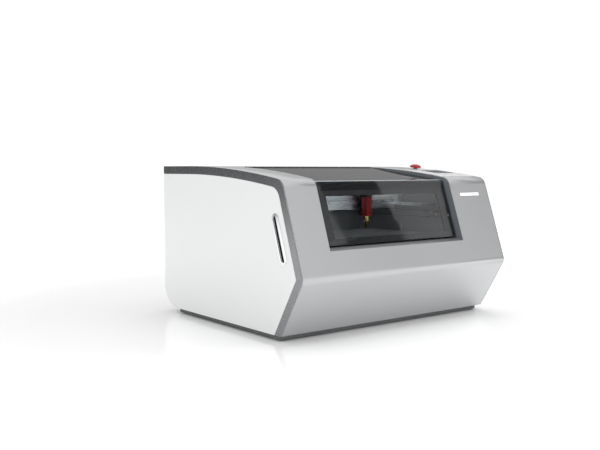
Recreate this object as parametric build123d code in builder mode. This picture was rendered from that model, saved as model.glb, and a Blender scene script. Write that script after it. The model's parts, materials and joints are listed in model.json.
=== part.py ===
"""Desktop laser cutter: a folded silver shell over a welded chamber, with a glazed lid, an X-Y gantry,
a rising honeycomb table, a glass laser tube and an operator's console.

Millimetres, +Z up. The machine stands on z = 0 and its front looks along -Y. The origin is the middle
of the footprint, exhaust spigot included.
"""

import os
from math import asin, atan2, cos, degrees, radians, sin, sqrt

from build123d import *

# ---------------------------------------------------------------- driving dimensions
half_width = 450.0  # overall width is 900
rear_y = 381.0  # outer face of the rear panel
body_bottom = 17.0  # underside of the body, above the plinth
top_z = 515.0  # highest line of the top skin
flat_top_y = 211.0  # behind this line the top is flat, ahead of it it falls on a large arc
top_radius = 3470.0
knee = Vector(-419.0, 188.0)  # corner between the two front faces, before rounding
lean = radians(18.9)  # upper front face, backwards from the vertical
undercut = radians(31.1)  # lower front face, inwards from the vertical
brow_radius = 35.0
knee_radius = 28.0
rear_radius = 80.0
sharpest = 0.5  # least radius left where an outline is inset by more than its rounds

skin = 2.0  # shell sheet
trim_width = 26.0
trim_thickness = 4.0
trim_brow_radius = 46.0  # inner corner of the trim, over the brow
panel_gap = 1.0
panel_thickness = 2.0
shell_half = half_width - trim_thickness

chamber_x = -33.0  # the chamber and the lid opening are centred left of the console
opening_half = 293.0
opening_low = 82.4  # up the front face from the knee
opening_rear_y = 65.0
cheek_depth = 34.0  # of the surround at both sides of the opening
cheek = 3.0

lid_half = 289.0
lid_recess = 20.0  # glass below the front face
glass = 5.0
sheet = 3.0
lid_low = 103.0
lid_ridge = 302.8
lid_border = 45.0
lid_rear = Vector(51.0, 509.5)
hinge_yz = Vector(58.0, 508.0)
hinge_radius = 5.0
hinge_pin_radius = 2.5

wall_half = 307.0  # inner faces of the chamber's side walls
wall = 2.0
chamber_rear_y = 135.0
chamber_front_y = -341.0
chamber_floor_z = 122.0

running = 0.05  # radial clearance of a running fit
fit_gap = 0.3  # between a panel and what fits in its opening

# ---------------------------------------------------------------- outline of the body
up_slope = Vector(sin(lean), cos(lean))
into_slope = Vector(cos(lean), -sin(lean))
low_normal = Vector(-cos(undercut), -sin(undercut))
top_centre = Vector(flat_top_y, top_z - top_radius)


def slope(along, deep):
    """YZ point on the upper front face, up from the knee and inwards from the face."""
    return knee + up_slope * along + into_slope * deep


def circle_on_line(start, direction, centre, radius):
    """Point of a line, ahead of its start, that lies on a circle around centre."""
    arm = start - centre
    middle = -arm.dot(direction)
    return start + direction * (middle + sqrt(middle**2 - arm.dot(arm) + radius**2))


def brow_centre_at(depth):
    """Centre of a round between the top and the front face that is this deep below both."""
    return circle_on_line(slope(0, depth), up_slope, top_centre, top_radius - depth)


def knee_centre_at(depth):
    """Centre of a round between the two front faces that is this deep below both."""
    return knee + (into_slope - low_normal) * (depth / (1 - into_slope.dot(low_normal)))


def on_circle(centre, radius, *directions):
    """Point of a circle halfway between the given unit directions."""
    total = Vector(0, 0)
    for direction in directions:
        total += direction
    return centre + total.normalized() * radius


def side_outline(inset=0.0, brow=None):
    """Closed side view of the body in Y and Z, inset from the skin along its top and front.

    The round between the top and the front is concentric with the skin's unless its radius is given.
    """
    up = Vector(0, 1)
    out_slope = into_slope * -1
    big = top_radius - inset
    brow = brow or max(brow_radius - inset, sharpest)
    bend = max(knee_radius - inset, sharpest)
    brow_centre = brow_centre_at(inset + brow)
    knee_centre = knee_centre_at(inset + bend)
    to_brow = (brow_centre - top_centre).normalized()
    rear_top = Vector(rear_y, top_z - inset)
    flat_end = Vector(flat_top_y, top_z - inset)
    brow_top = top_centre + to_brow * big
    brow_low = brow_centre + out_slope * brow
    bend_top = knee_centre + out_slope * bend
    bend_low = knee_centre + low_normal * bend
    drop = (bend_low.Y - body_bottom) / cos(undercut)
    toe = Vector(bend_low.X + drop * sin(undercut), body_bottom)
    heel = Vector(rear_y - rear_radius, body_bottom)
    heel_centre = heel + Vector(0, rear_radius)
    heel_top = Vector(rear_y, body_bottom + rear_radius)
    with BuildLine() as curve:
        Line(rear_top, flat_end)
        ThreePointArc(flat_end, on_circle(top_centre, big, up, to_brow), brow_top)
        ThreePointArc(brow_top, on_circle(brow_centre, brow, to_brow, out_slope), brow_low)
        Line(brow_low, bend_top)
        ThreePointArc(bend_top, on_circle(knee_centre, bend, out_slope, low_normal), bend_low)
        Line(bend_low, toe)
        Line(toe, heel)
        ThreePointArc(heel, on_circle(heel_centre, rear_radius, Vector(1, 0), Vector(0, -1)), heel_top)
        Line(heel_top, rear_top)
    return curve.line


def top_skin_z(y):
    """Height of the top skin at a place along its falling arc."""
    return top_centre.Y + sqrt(top_radius**2 - (flat_top_y - y) ** 2)


def console_plane(x, y):
    """Plane that lies on the top skin."""
    tilt = asin((flat_top_y - y) / top_radius)
    return Plane(origin=(x, y, top_skin_z(y)), x_dir=(1, 0, 0), z_dir=(0, -sin(tilt), cos(tilt)))


# the lid's top plane runs from the ridge over the front glass back to the hinge
ridge_corner = slope(lid_ridge, lid_recess)
back_along = (lid_rear - ridge_corner).normalized()
below_top = Vector(back_along.Y, -back_along.X)
lid_length = (lid_rear - ridge_corner).length


def lid_top(along, deep):
    """YZ point on the lid's top, back from its ridge and down from its surface."""
    return ridge_corner + back_along * along + below_top * deep


def lid_fold(front_deep, top_deep):
    """YZ point where a line behind the front glass meets a line under the top glass."""
    base = slope(0, front_deep)
    along = (top_deep - (base - ridge_corner).dot(below_top)) / up_slope.dot(below_top)
    return base + up_slope * along


def lid_along(y):
    """How far back from the ridge a place on the lid's top is."""
    return (y - ridge_corner.X) / back_along.X


# ---------------------------------------------------------------- small builders
def slab(xs, ys, zs, mode=Mode.ADD):
    """Box given by a low-high pair on each axis."""
    middle = [(low + high) / 2 for low, high in (xs, ys, zs)]
    with Locations(Vector(*middle)):
        Box(xs[1] - xs[0], ys[1] - ys[0], zs[1] - zs[0], mode=mode)


def prism(points, xs, mode=Mode.ADD):
    """YZ outline extruded along X."""
    with BuildSketch(Plane.YZ.offset(xs[0])) as section:
        Polygon(*points)
    extrude(section.sketch, amount=xs[1] - xs[0], mode=mode)


def bar(start, radius, length, axis=(0, 0, 1), mode=Mode.ADD):
    """Round bar from a point along an axis."""
    with Locations(Plane(origin=start, z_dir=axis)):
        Cylinder(radius, length, align=(Align.CENTER, Align.CENTER, Align.MIN), mode=mode)


def span(centre, size):
    """Low-high pair around a centre."""
    return (centre - size / 2, centre + size / 2)


def both_sides(inner, outer):
    """The X ranges between two distances from the chamber's middle, left and right."""
    return [(chamber_x - outer, chamber_x - inner), (chamber_x + inner, chamber_x + outer)]


X_AXIS, Y_AXIS, Z_AXIS = (1, 0, 0), (0, 1, 0), (0, 0, 1)
full_x = (chamber_x - lid_half, chamber_x + lid_half)
opening_x = (chamber_x - opening_half, chamber_x + opening_half)
pieces = []

# ---------------------------------------------------------------- base
tray_top = body_bottom + skin
screw_x = [chamber_x - 262.0, chamber_x + 262.0]
screw_y = -130.0
screw_radius = 5.0
screw_top = 312.0
bearing_top = 34.0
bearing_radius = 11.0
tray_front = -311.5
foot_radius = 18.0
foot_spacing = (800.0, 520.0)
skirt_half, skirt_front, skirt_rear = 440.0, -302.0, 297.0
skirt_wall = 3.0
skirt_bottom = 3.0
skirt_corner = 8.0

with BuildPart() as base_tray:
    slab(span(0, 2 * shell_half), (tray_front, rear_y - rear_radius - fit_gap), (body_bottom, tray_top))
    for x in screw_x:
        bar((x, screw_y, tray_top), bearing_radius, bearing_top - tray_top)
base_tray.part.label = "base_tray"
pieces.append(base_tray)

with BuildPart() as plinth_skirt:
    skirt_length = skirt_rear - skirt_front
    with BuildSketch(Plane.XY.offset(skirt_bottom)):
        with Locations((0, (skirt_front + skirt_rear) / 2)):
            RectangleRounded(2 * skirt_half, skirt_length, skirt_corner)
            RectangleRounded(
                2 * (skirt_half - skirt_wall), skirt_length - 2 * skirt_wall, skirt_corner - skirt_wall,
                mode=Mode.SUBTRACT,
            )
    extrude(amount=body_bottom - skirt_bottom)
plinth_skirt.part.label = "plinth_skirt"
pieces.append(plinth_skirt)

with BuildPart() as rubber_feet:
    with BuildSketch():
        with GridLocations(*foot_spacing, 2, 2):
            Circle(foot_radius)
    extrude(amount=body_bottom, taper=4)
rubber_feet.part.label = "rubber_feet"
pieces.append(rubber_feet)

# ---------------------------------------------------------------- shell
# everything in front of the opening's rear edge and above the opening's low edge
opening_area = [
    slope(opening_low, -60),
    slope(opening_low, 60),
    Vector(opening_rear_y, 420),
    Vector(opening_rear_y, 600),
    Vector(-540, 600),
]
console_x = 352.0
panel_y = -190.0
panel_size = (172.0, 180.0)
light_along = 243.0
light_x = 350.0
light_length = 96.0
light_width = 10.0
slot_gap = 0.4  # both sides together, around the panel and the light bar
hinge_flange_z = (484.0, 510.5)

with BuildPart() as body_shell:
    with BuildSketch(Plane.YZ.offset(-shell_half)):
        make_face(side_outline())
        make_face(side_outline(skin), mode=Mode.SUBTRACT)
    extrude(amount=2 * shell_half)
    prism(opening_area, opening_x, Mode.SUBTRACT)
    # sloped finger ledge under the lid and its landing
    ledge_top = [slope(opening_low, 0.2), slope(98, 26), slope(98, 46)]
    ledge_underside = [slope(95, 46), slope(95, 27.5), slope(opening_low - 3.2, 1.5)]
    prism(ledge_top + ledge_underside, opening_x)
    # flange behind the lid that carries the hinge
    slab(opening_x, (opening_rear_y, opening_rear_y + sheet), hinge_flange_z)
    # openings for the control panel and the light bar
    with Locations(console_plane(console_x, panel_y)):
        Box(panel_size[0] + slot_gap, panel_size[1] + slot_gap, 10 * skin, mode=Mode.SUBTRACT)
    light_low, light_high = span(light_along, light_width + slot_gap)
    light_slot = [slope(light_low, -3), slope(light_low, 8), slope(light_high, 8), slope(light_high, -3)]
    prism(light_slot, span(light_x, light_length + slot_gap), Mode.SUBTRACT)
body_shell.part.label = "body_shell"
pieces.append(body_shell)

# dark cheeks that line both sides of the opening, behind the shell's sheet
with BuildPart() as opening_surround:
    for low_x in (opening_x[0] - cheek, opening_x[1]):
        with BuildSketch(Plane.YZ.offset(low_x)) as cheek_section:
            make_face(side_outline(skin))
            make_face(side_outline(cheek_depth), mode=Mode.SUBTRACT)
            Polygon(*opening_area, mode=Mode.INTERSECT)
        extrude(cheek_section.sketch, amount=cheek)
opening_surround.part.label = "opening_surround"
pieces.append(opening_surround)

with BuildPart() as edge_trims:
    with BuildSketch(Plane.YZ.offset(shell_half)):
        make_face(side_outline())
        make_face(side_outline(trim_width, trim_brow_radius), mode=Mode.SUBTRACT)
    extrude(amount=trim_thickness)
    mirror(about=Plane.YZ)
edge_trims.part.label = "edge_trims"
pieces.append(edge_trims)

# ---------------------------------------------------------------- side panels and their grips
grip_y, grip_z = -311.0, 303.0
grip_size = (152.0, 32.0)  # outside of the chrome ring
grip_mouth = (142.0, 22.0)  # clear slot inside the ring
cup_size = (148.0, 28.0)
cup_depth = 22.0
cup_floor = 2.0
ring_rise = 2.0
bar_rear = 4.0  # the pull bar fills the slot ahead of this line
bar_sunk = 3.0


def grip_plane(x):
    """Plane on the right-hand side panel with its X axis up the grip, parallel to the front face."""
    return Plane(origin=(x, grip_y, grip_z), x_dir=(0, sin(lean), cos(lean)), z_dir=X_AXIS)


with BuildPart() as side_panel_right:
    with BuildSketch(Plane.YZ.offset(half_width - panel_thickness)):
        make_face(side_outline(trim_width + panel_gap, trim_brow_radius - panel_gap))
    extrude(amount=panel_thickness)
    with BuildSketch(grip_plane(half_width)):
        SlotOverall(*grip_mouth)
    extrude(amount=-2 * panel_thickness, mode=Mode.SUBTRACT)
side_panel_right.part.label = "side_panel_right"
pieces.append(side_panel_right)

with BuildPart() as side_panel_left:
    mirror(side_panel_right.part, about=Plane.YZ)
side_panel_left.part.label = "side_panel_left"
pieces.append(side_panel_left)

with BuildPart() as handle_cups:
    with BuildSketch(grip_plane(half_width - panel_thickness)):
        SlotOverall(*cup_size)
    extrude(amount=-cup_depth)
    with BuildSketch(grip_plane(half_width - panel_thickness)):
        SlotOverall(*grip_mouth)
    extrude(amount=cup_floor - cup_depth, mode=Mode.SUBTRACT)
    mirror(about=Plane.YZ)
handle_cups.part.label = "handle_cups"
pieces.append(handle_cups)

with BuildPart() as handle_grips:
    with BuildSketch(grip_plane(half_width)):
        SlotOverall(*grip_size)
        SlotOverall(*grip_mouth, mode=Mode.SUBTRACT)
    extrude(amount=ring_rise)
    # pull bar across the front of the slot, with room for fingers behind it
    with BuildSketch(grip_plane(half_width - bar_sunk)):
        SlotOverall(*grip_mouth)
        with Locations((0, bar_rear)):
            Rectangle(*grip_size, align=(Align.CENTER, Align.MIN), mode=Mode.INTERSECT)
    extrude(amount=bar_sunk + ring_rise)
    mirror(about=Plane.YZ)
handle_grips.part.label = "handle_grips"
pieces.append(handle_grips)

# ---------------------------------------------------------------- rear panel and its services
fan_x, fan_z = 120.0, 235.0
spigot_radius, spigot_end = 50.0, 416.4
spigot_seat_radius = 53.0  # the stub's thicker root, flush with the panel
inlet_x, inlet_z = -330.0, 170.0
inlet_body = (47.0, 57.0)
inlet_flange = (54.0, 64.0)
port_x, port_z = -200.0, 170.0
port_plate = (70.0, 24.0)
barb_x = [40.0, 5.0, -30.0]  # coolant out, coolant in and assist air
barb_z = 150.0
barb_root = 5.0
louvre_x, louvre_z = (-300.0, 330.0), 420.0  # beside the power supply and the tube's end
louvre_size, louvre_pitch, louvre_rows = (140.0, 4.5), 11.0, 9
rear_skin = 2.5
inner_rear_y = rear_y - rear_skin
panel_top_z = top_z - skin - fit_gap
through_y = (inner_rear_y - 5, rear_y + 5)  # deeper than the rear panel both ways

with BuildPart() as rear_panel:
    heel_y = rear_y - rear_radius
    heel_z = body_bottom + rear_radius
    heel_mid = Vector(1, -1).normalized()
    with BuildSketch(Plane.YZ.offset(-shell_half)):
        with BuildLine():
            Line((heel_y, body_bottom), (heel_y, body_bottom + rear_skin))
            ThreePointArc(
                (heel_y, body_bottom + rear_skin),
                Vector(heel_y, heel_z) + heel_mid * (rear_radius - rear_skin),
                (inner_rear_y, heel_z),
            )
            Line((inner_rear_y, heel_z), (inner_rear_y, panel_top_z))
            Line((inner_rear_y, panel_top_z), (rear_y, panel_top_z))
            Line((rear_y, panel_top_z), (rear_y, heel_z))
            ThreePointArc(
                (rear_y, heel_z), Vector(heel_y, heel_z) + heel_mid * rear_radius, (heel_y, body_bottom)
            )
        make_face()
    extrude(amount=2 * shell_half)
    through = through_y[1] - through_y[0]
    bar((fan_x, through_y[0], fan_z), spigot_seat_radius + fit_gap, through, Y_AXIS, Mode.SUBTRACT)
    for x, z, size in ((inlet_x, inlet_z, inlet_body), (port_x, port_z, port_plate)):
        slab(span(x, size[0] + slot_gap), through_y, span(z, size[1] + slot_gap), Mode.SUBTRACT)
    for x in barb_x:
        bar((x, through_y[0], barb_z), barb_root + fit_gap, through, Y_AXIS, Mode.SUBTRACT)
    for centre_x in louvre_x:
        with BuildSketch(Plane.XZ.offset(-rear_y)):
            with Locations((centre_x, louvre_z)):
                with GridLocations(0, louvre_pitch, 1, louvre_rows):
                    SlotOverall(*louvre_size)
        extrude(amount=2 * rear_skin, mode=Mode.SUBTRACT)
rear_panel.part.label = "rear_panel"
pieces.append(rear_panel)

fixing_rows = (140.0, 320.0, 490.0)
fixing_columns = (-425.0, -140.0, 205.0, 425.0)
fixing_radius, fixing_height = 4.5, 2.2
with BuildPart() as panel_screws:
    for z in fixing_rows:
        for x in fixing_columns:
            bar((x, rear_y, z), fixing_radius, fixing_height, Y_AXIS)
            with BuildSketch(Plane(origin=(x, rear_y + 1, z), x_dir=X_AXIS, z_dir=Y_AXIS)) as hexagon:
                RegularPolygon(fixing_radius / 3, 6)
            extrude(hexagon.sketch, amount=fixing_height, mode=Mode.SUBTRACT)
panel_screws.part.label = "panel_screws"
pieces.append(panel_screws)

# exhaust fan with the round spigot that a duct hose slides over
fan_size = 130.0
fan_front_y = 338.0
duct_radius = spigot_radius - 2.5
hub_radius = 18.0
hub_y = (368.0, 377.0)
spokes = 3
fan_shaft_radius = 3.0
rotor_y = (346.0, 366.0)
rotor_radius = 17.0
blades = 7
blade_size = (30.0, 22.0, 1.6)  # outwards, along the chord and through
with BuildPart() as fan_housing:
    slab(span(fan_x, fan_size), (fan_front_y, inner_rear_y), span(fan_z, fan_size))
    fillet(fan_housing.edges().filter_by(Axis.Y), 8)
    bar((fan_x, inner_rear_y - 1, fan_z), spigot_seat_radius, rear_skin + 1, Y_AXIS)
    bar((fan_x, rear_y, fan_z), spigot_radius, spigot_end - rear_y, Y_AXIS)
    bar((fan_x, fan_front_y - 1, fan_z), duct_radius, spigot_end - fan_front_y + 2, Y_AXIS, Mode.SUBTRACT)
    # motor hub held by spokes, with the rotor's shaft ahead of it
    bar((fan_x, hub_y[0], fan_z), hub_radius, hub_y[1] - hub_y[0], Y_AXIS)
    for turn in range(spokes):
        angle = radians(90 + turn * 360 / spokes)
        spoke = Vector(cos(angle), 0, sin(angle))
        root = Vector(fan_x, sum(hub_y) / 2, fan_z) + spoke * (hub_radius - 2)
        bar(root, 2.5, duct_radius - hub_radius + 4, spoke)
    bar((fan_x, rotor_y[0] - 4, fan_z), fan_shaft_radius, hub_y[0] - rotor_y[0] + 5, Y_AXIS)
fan_housing.part.label = "fan_housing"
pieces.append(fan_housing)

with BuildPart() as fan_rotor:
    bar((fan_x, rotor_y[0], fan_z), rotor_radius, rotor_y[1] - rotor_y[0], Y_AXIS)
    hub_plane = Plane(origin=(fan_x, sum(rotor_y) / 2, fan_z), x_dir=X_AXIS, z_dir=Y_AXIS)
    for turn in range(blades):
        with Locations(hub_plane * Rot(0, 0, turn * 360 / blades) * Pos(30, 0, 0) * Rot(35, 0, 0)):
            Box(*blade_size)
    bar((fan_x, rotor_y[0] - 10, fan_z), fan_shaft_radius + running, 40, Y_AXIS, Mode.SUBTRACT)
fan_rotor.part.label = "fan_rotor"
pieces.append(fan_rotor)

# mains inlet and rocker switch in one module
inlet_y = rear_y + 2.0
socket_z = inlet_z - 13.0
rocker_z = inlet_z + 16.0
rocker_pivot_y = rear_y - 5.0
rocker_pin_radius = 1.5
outside_y = rear_y + 20.0  # clear of everything on the rear panel's fittings
with BuildPart() as power_inlet:
    slab(span(inlet_x, inlet_flange[0]), (rear_y, inlet_y), span(inlet_z, inlet_flange[1]))
    slab(span(inlet_x, inlet_body[0]), (345, rear_y), span(inlet_z, inlet_body[1]))
    slab(span(inlet_x, 25), (inlet_y - 17, outside_y), span(socket_z, 17), Mode.SUBTRACT)
    slab(span(inlet_x, 14), (rear_y - 14, outside_y), span(rocker_z, 22), Mode.SUBTRACT)
    for side, height in ((-7, 1.5), (0, -2.5), (7, 1.5)):
        slab(span(inlet_x + side, 2), (inlet_y - 18, inlet_y - 7), span(socket_z + height, 4))
    bar((inlet_x - 8, rocker_pivot_y, rocker_z), rocker_pin_radius, 16, X_AXIS)
power_inlet.part.label = "power_inlet"
pieces.append(power_inlet)

rocker_tilt = 8.0  # degrees either side of the middle
with BuildPart() as rocker:
    with BuildSketch(Plane.YZ.offset(inlet_x - 6)) as rocker_section:
        Polygon((-4, -9), (5.4, -9.3), (4.4, 0), (5.4, 9.3), (-4, 9))
        Circle(rocker_pin_radius + running, mode=Mode.SUBTRACT)
    extrude(rocker_section.sketch, amount=12)
rocker.part = rocker.part.rotate(Axis.X, rocker_tilt).moved(Location((0, rocker_pivot_y, rocker_z)))
rocker.part.label = "rocker"
pieces.append(rocker)

barb_bore = 1.5
with BuildPart() as rear_connectors:
    # data sockets on one small plate
    slab(span(port_x, port_plate[0]), (rear_y - 20, rear_y + 1), span(port_z, port_plate[1]))
    for socket_x in (port_x - 18, port_x + 16):
        slab(span(socket_x, 12), (rear_y - 13, outside_y), span(port_z, 11.5), Mode.SUBTRACT)
    # hose barbs, each with a flange on the panel and three ridges
    flange = [(barb_bore, 360), (barb_root, 360), (barb_root, rear_y), (8, rear_y), (8, 386), (4, 386)]
    ridges = [(radius, y) for y in (392, 397, 402) for radius in (4, barb_root)]
    for x in barb_x:
        with BuildSketch(Plane(origin=(x, 0, barb_z), x_dir=X_AXIS, z_dir=Z_AXIS)):
            with BuildLine():
                Polyline(*flange, *ridges, (3.4, 408), (barb_bore, 408), close=True)
            make_face()
        revolve(axis=Axis((x, 0, barb_z), Y_AXIS))
rear_connectors.part.label = "rear_connectors"
pieces.append(rear_connectors)

# ---------------------------------------------------------------- console
panel_plane = console_plane(console_x, panel_y)
panel_rise = 2.0  # the panel's face stands this far over the skin
panel_face = panel_plane.offset(panel_rise)
display_at = (16, 16)
display_size = (92.0, 78.0)
display_sunk = 2.0
key_at = {"key_start": (-14, -62), "key_stop": (34, -62)}
key_radius = 9.0
estop_at = (-47, 66)
estop_hole = 11.2
with BuildPart() as control_panel:
    with BuildSketch(panel_face):
        RectangleRounded(*panel_size, 3)
    extrude(amount=-2 * panel_rise)
    with BuildSketch(panel_face):
        with Locations(display_at):
            RectangleRounded(*display_size, 4)
    extrude(amount=-display_sunk, mode=Mode.SUBTRACT)
    with BuildSketch(panel_face):
        with Locations(*key_at.values()):
            Circle(key_radius + 0.4)
        with Locations(estop_at):
            Circle(estop_hole)
    extrude(amount=-5, mode=Mode.SUBTRACT)
control_panel.part.label = "control_panel"
pieces.append(control_panel)

with BuildPart() as display_glass:
    with BuildSketch(panel_face.offset(-display_sunk)):
        with Locations(display_at):
            RectangleRounded(display_size[0] - 0.6, display_size[1] - 0.6, 3.7)
    extrude(amount=display_sunk + 0.6)
display_glass.part.label = "display_glass"
pieces.append(display_glass)

keys = {}
for key_name, key_place in key_at.items():
    with BuildPart() as keys[key_name]:
        with BuildSketch(panel_face.offset(-3.5)):
            with Locations(key_place):
                Circle(key_radius)
        extrude(amount=5.5)
        fillet(keys[key_name].edges().group_by(Axis.Z)[-1], 0.8)
    keys[key_name].part.label = key_name
    pieces.append(keys[key_name])

estop_plane = Plane(
    origin=panel_face.from_local_coords((*estop_at, 0)), x_dir=panel_face.x_dir, z_dir=panel_face.z_dir
)
collar_radius = 11.0
collar_top = 4.8
stem_radius, head_stem_radius = 6.0, 3.0
stem_low = -12.0
head_base = 8.5
head_radius = 20.0
head_top = 20.5
head_seat = head_base + 8  # top of the bore that the stem turns in
shoulder = head_base - 0.2
with BuildPart() as estop_base:
    with BuildSketch(estop_plane):
        Circle(15)
    extrude(amount=2.5)
    with BuildSketch(estop_plane.offset(collar_top)):
        Circle(collar_radius)
    extrude(amount=-30 - collar_top)
    with BuildSketch(estop_plane.offset(collar_top + 1)):
        Circle(stem_radius + running)
    extrude(amount=-25, mode=Mode.SUBTRACT)
estop_base.part.label = "estop_base"
pieces.append(estop_base)

with BuildPart() as estop_stem:
    with BuildSketch(estop_plane.offset(stem_low)):
        Circle(stem_radius)
    extrude(amount=shoulder - stem_low)
    with BuildSketch(estop_plane.offset(shoulder)):
        Circle(head_stem_radius)
    extrude(amount=8)
estop_stem.part.label = "estop_stem"
pieces.append(estop_stem)

with BuildPart() as estop_head:
    with BuildSketch(Plane.XZ):
        with BuildLine():
            bore = head_stem_radius + running
            rim = (head_radius, head_base + 2.5)
            Polyline((bore, head_base), (11, head_base), (head_radius - 1, head_base + 1), rim)
            Spline(rim, (19, 15.5), (12, 19.3), (0, head_top), tangents=((0, 1), (-1, 0)))
            Polyline((0, head_top), (0, head_seat), (bore, head_seat), (bore, head_base))
        make_face()
    revolve(axis=Axis.Z)
estop_head.part = estop_head.part.moved(estop_plane.location)
estop_head.part.label = "estop_head"
pieces.append(estop_head)

with BuildPart() as status_light:
    light_plane = Plane(
        origin=(light_x, *slope(light_along, 1.0)), x_dir=X_AXIS, z_dir=(0, -cos(lean), sin(lean))
    )
    with BuildSketch(light_plane):
        Rectangle(light_length, light_width)
    extrude(amount=2.0)
status_light.part.label = "status_light"
pieces.append(status_light)

# ---------------------------------------------------------------- lid
strut_seat = Vector(-120.0, 456.0)  # rod end under the lid
strut_foot = Vector(60.0, 452.0)  # tube end at the chamber wall
strut_out = (270.0, 284.0)  # distances of the strut's two faces from the chamber's middle
tab_out = (263.0, 266.0)

flange_depth = 45.0  # of the lid's flanges, from the front face
top_flange_depth = 20.0  # below the lid's top
window_low, window_high = lid_low + 20.0, 257.8  # up the front face
window_start, window_stop = 38.0, lid_length - 40.0  # along the top
tab_reach = 13.0  # half length of the strut's tab at its root
stud_radius, stud_length = 4.0, 3.4


def band(place, along, deep):
    """Four-cornered outline between a pair of distances along a face and a pair of depths below it."""
    low, high = along
    return [place(low, deep[0]), place(high, deep[0]), place(high, deep[1]), place(low, deep[1])]


under_glass = lid_recess + glass
with BuildPart() as lid_frame:
    outside = [slope(lid_low, under_glass), lid_fold(under_glass, glass), lid_top(lid_length, glass)]
    folded_skin = outside + [
        lid_top(lid_length, glass + sheet),
        lid_fold(under_glass + sheet, glass + sheet),
        slope(lid_low, under_glass + sheet),
    ]
    prism(folded_skin, full_x)
    # windows in the front and in the top
    window_x = (full_x[0] + lid_border, full_x[1] - lid_border)
    prism(band(slope, (window_low, window_high), (15, 40)), window_x, Mode.SUBTRACT)
    prism(band(lid_top, (window_start, window_stop), (-5, 16)), window_x, Mode.SUBTRACT)
    # stiffening flanges all round
    side_flange = outside + [
        lid_top(lid_length, top_flange_depth),
        lid_fold(flange_depth, under_glass),
        slope(lid_low, flange_depth),
    ]
    for low_x in (full_x[0], full_x[1] - sheet):
        prism(side_flange, (low_x, low_x + sheet))
    prism(band(slope, (lid_low, lid_low + sheet), (under_glass + 1, flange_depth)), full_x)
    prism(band(lid_top, (lid_length - sheet, lid_length), (glass + 1, top_flange_depth)), full_x)
    # tabs that hold the struts' ball studs
    tab_root = [lid_top(lid_along(strut_seat.X + reach), glass + 1) for reach in (-tab_reach, tab_reach)]
    tab = tab_root + [strut_seat + Vector(8, -9), strut_seat + Vector(-8, -9)]
    for tab_x, outwards in zip(both_sides(*tab_out), (-1, 1)):
        prism(tab, tab_x)
        stud_x = tab_x[0] - stud_length if outwards < 0 else tab_x[1]
        bar((stud_x, *strut_seat), stud_radius, stud_length, X_AXIS)
lid_frame.part.label = "lid_frame"
pieces.append(lid_frame)

with BuildPart() as lid_front_glass:
    outer_face = [slope(lid_low, lid_recess), lid_fold(lid_recess, 0)]
    inner_face = [lid_fold(under_glass, 0), slope(lid_low, under_glass)]
    prism(outer_face + inner_face, full_x)
lid_front_glass.part.label = "lid_front_glass"
pieces.append(lid_front_glass)

with BuildPart() as lid_top_glass:
    glass_start = under_glass + 0.6
    upper_face = [lid_fold(glass_start, 0), lid_top(lid_length, 0)]
    lower_face = [lid_top(lid_length, glass), lid_fold(glass_start, glass)]
    prism(upper_face + lower_face, full_x)
lid_top_glass.part.label = "lid_top_glass"
pieces.append(lid_top_glass)

# piano hinge, with every other knuckle on the body
knuckles = 19
knuckle_gap = 1.0
hinge_half = 285.0
hinge_x = (chamber_x - hinge_half, chamber_x + hinge_half)
knuckle_pitch = 2 * hinge_half / knuckles
knuckle_x = [span(hinge_x[0] + knuckle_pitch * (n + 0.5), knuckle_pitch - knuckle_gap) for n in range(knuckles)]

with BuildPart() as lid_hinge_leaf:
    prism(band(lid_top, (lid_length, lid_length + 2), (glass, top_flange_depth)), hinge_x)
    for xs in knuckle_x[1::2]:
        prism(band(lid_top, (lid_length, lid_length + 3), (1, glass + 1)), xs)
        bar((xs[0], *hinge_yz), hinge_radius, xs[1] - xs[0], X_AXIS)
    bar((hinge_x[0] - 5, *hinge_yz), hinge_pin_radius + running, 2 * hinge_half + 10, X_AXIS, Mode.SUBTRACT)
lid_hinge_leaf.part.label = "lid_hinge_leaf"
pieces.append(lid_hinge_leaf)

with BuildPart() as body_hinge_leaf:
    slab(hinge_x, (62.9, opening_rear_y), (486, 502))
    for xs in knuckle_x[0::2]:
        slab(xs, (61.5, opening_rear_y), (501, hinge_yz.Y))
        bar((xs[0], *hinge_yz), hinge_radius, xs[1] - xs[0], X_AXIS)
    bar((hinge_x[0], *hinge_yz), hinge_pin_radius, 2 * hinge_half, X_AXIS)
body_hinge_leaf.part.label = "body_hinge_leaf"
pieces.append(body_hinge_leaf)

# gas struts that hold the lid open
strut_run = strut_seat - strut_foot
strut_length = strut_run.length
strut_axis = (0, strut_run.X / strut_length, strut_run.Y / strut_length)
tube_end = 125.0


def along_strut(distance, x):
    """Point on a strut's line, from its foot towards its seat."""
    place = strut_foot + strut_run * (distance / strut_length)
    return (x, place.X, place.Y)


tube_radius, rod_radius, eye_radius = 7.0, 4.0, 8.0
eye_width = strut_out[1] - strut_out[0]
for side, xs in zip(("left", "right"), both_sides(*strut_out)):
    centre_x = sum(xs) / 2
    with BuildPart() as strut_tube:
        bar(along_strut(3, centre_x), tube_radius, tube_end - 3, strut_axis)
        bar((xs[0], *strut_foot), eye_radius, eye_width, X_AXIS)
        bar(along_strut(40, centre_x), tube_radius - 1.5, tube_end - 46, strut_axis, Mode.SUBTRACT)
        bar(along_strut(40, centre_x), rod_radius + running, tube_end, strut_axis, Mode.SUBTRACT)
        bar((xs[0] - 1, *strut_foot), stud_radius + running, eye_width + 2, X_AXIS, Mode.SUBTRACT)
    strut_tube.part.label = f"strut_tube_{side}"
    pieces.append(strut_tube)
    with BuildPart() as strut_rod:
        bar(along_strut(60, centre_x), rod_radius, strut_length - 60, strut_axis)
        bar((xs[0], *strut_seat), eye_radius, eye_width, X_AXIS)
    strut_rod.part.label = f"strut_rod_{side}"
    pieces.append(strut_rod)

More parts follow.
